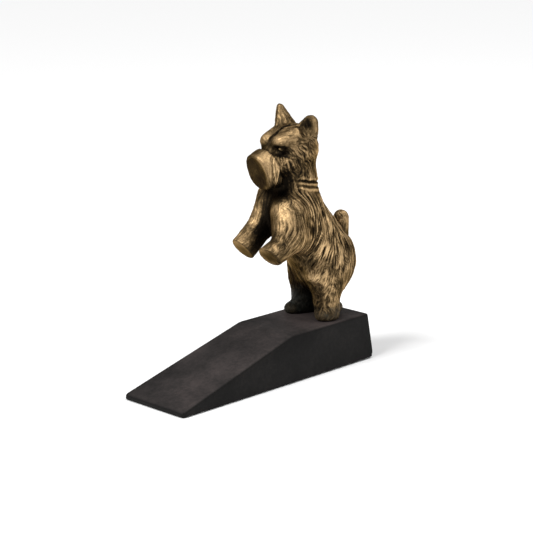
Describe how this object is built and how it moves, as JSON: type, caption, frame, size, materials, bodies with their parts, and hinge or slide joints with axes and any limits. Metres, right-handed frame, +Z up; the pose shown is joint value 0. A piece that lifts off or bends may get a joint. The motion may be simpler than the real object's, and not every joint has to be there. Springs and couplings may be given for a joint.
{
  "type": "door wedge with dog figure",
  "caption": "Cast-iron door wedge with a bronze terrier figure standing on its hind legs, screwed on from below, and a rubber pad underneath.",
  "frame": {"origin": "on the floor, under the middle of the wedge", "axes": "+Z up, +Y from the wedge's thin end to its thick end, so the dog looks along -Y and its left side is +X"},
  "size_m": [0.0504, 0.1655, 0.1623],
  "materials": {
    "bronze": "cast, dark patina rubbed back to gold on the high spots",
    "black_iron": "satin black paint",
    "rubber": "matte sheet",
    "screw_steel": "zinc plated"
  },
  "bodies": {
    "root": {"dog_figure": "bronze", "wedge_base": "black_iron", "grip_pad": "rubber", "left_paw_screw": "screw_steel", "left_flat_washer": "screw_steel", "left_lock_washer": "screw_steel", "right_paw_screw": "screw_steel", "right_flat_washer": "screw_steel", "right_lock_washer": "screw_steel"}
  },
  "joints": []
}
